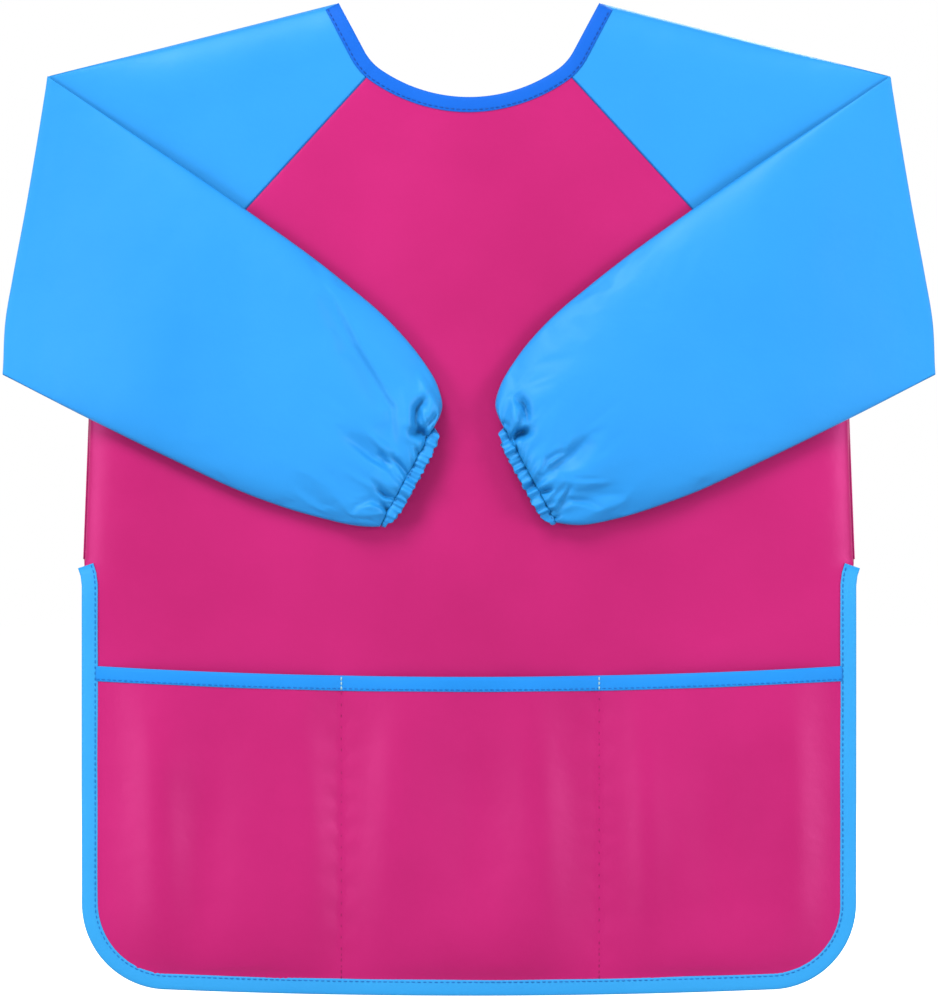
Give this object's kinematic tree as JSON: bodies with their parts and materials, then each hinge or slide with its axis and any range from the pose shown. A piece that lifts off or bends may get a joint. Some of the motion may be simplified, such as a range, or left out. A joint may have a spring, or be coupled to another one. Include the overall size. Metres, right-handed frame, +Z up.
{
  "type": "artist smock apron",
  "caption": "Child's long-sleeved painting smock with contrasting raglan sleeves, gathered elastic cuffs, bound edges, divided hem pockets and an overlapping back opening.",
  "frame": {"origin": "centre of the neck opening, level with the shoulder tops and midway between front and back", "axes": "+Z up, away from the hem; front faces -Y; +X to the right as seen from the front"},
  "size_m": [0.5262, 0.0411, 0.56],
  "materials": {
    "magenta_cloth": "coated plain-weave polyester, soft sheen",
    "sky_cloth": "coated plain-weave polyester, soft sheen",
    "blue_tape": "woven bias tape",
    "blue_thread": "spun polyester sewing thread",
    "pink_thread": "spun polyester sewing thread",
    "elastic": "braided elastic",
    "hook_nylon": "moulded hooks",
    "loop_nylon": "brushed loops"
  },
  "bodies": {
    "smock_body": {"front_panel": "magenta_cloth", "pocket_panel": "magenta_cloth", "pocket_binding": "blue_tape", "pocket_binding_stitch": "blue_thread", "left_divider_seam": "pink_thread", "right_divider_seam": "pink_thread", "left_pocket_bartack": "blue_thread", "right_pocket_bartack": "blue_thread", "hem_binding": "blue_tape", "hem_binding_stitch": "blue_thread", "neck_binding": "blue_tape", "neck_binding_stitch": "blue_thread", "left_sleeve_upper": "sky_cloth", "right_sleeve_upper": "sky_cloth", "left_back_panel": "magenta_cloth", "right_back_panel": "magenta_cloth", "left_back_hem_binding": "blue_tape", "right_back_hem_binding": "blue_tape", "left_front_raglan_seam": "blue_thread", "right_front_raglan_seam": "blue_thread", "left_back_raglan_seam": "blue_thread", "right_back_raglan_seam": "blue_thread", "left_side_seam": "pink_thread", "right_side_seam": "pink_thread"},
    "left_forearm": {"left_sleeve_forearm": "sky_cloth", "left_cuff_casing": "sky_cloth", "left_cuff_elastic": "elastic", "left_cuff_stitch": "blue_thread"},
    "right_forearm": {"right_sleeve_forearm": "sky_cloth", "right_cuff_casing": "sky_cloth", "right_cuff_elastic": "elastic", "right_cuff_stitch": "blue_thread"},
    "outer_flap": {"outer_back_flap": "magenta_cloth", "outer_flap_edge_binding": "blue_tape", "outer_flap_neck_binding": "blue_tape", "hook_tape": "hook_nylon", "hook_tape_stitch": "blue_thread"},
    "inner_flap": {"inner_back_flap": "magenta_cloth", "inner_flap_edge_binding": "blue_tape", "inner_flap_neck_binding": "blue_tape", "loop_tape": "loop_nylon", "loop_tape_stitch": "blue_thread"}
  },
  "joints": [
    {"name": "left_sleeve_fold", "type": "hinge", "parent": "smock_body", "child": "left_forearm", "pos_m": [-0.2378, -0.0096, -0.0417], "axis": [-0.1486, 0, -0.9889], "range_deg": [0, 180]},
    {"name": "right_sleeve_fold", "type": "hinge", "parent": "smock_body", "child": "right_forearm", "pos_m": [0.2378, -0.0096, -0.0417], "axis": [-0.1486, 0, 0.9889], "range_deg": [0, 180]},
    {"name": "outer_flap_opening", "type": "hinge", "parent": "smock_body", "child": "outer_flap", "pos_m": [-0.056, 0.0128, -0.15], "axis": [0, 0, 1], "range_deg": [0, 170]},
    {"name": "inner_flap_opening", "type": "hinge", "parent": "smock_body", "child": "inner_flap", "pos_m": [0.056, 0.0098, -0.15], "axis": [0, 0, -1], "range_deg": [0, 76.5]}
  ],
  "couplings": [
    {"joint": "inner_flap_opening", "follows": "outer_flap_opening", "ratio": 0.45}
  ]
}
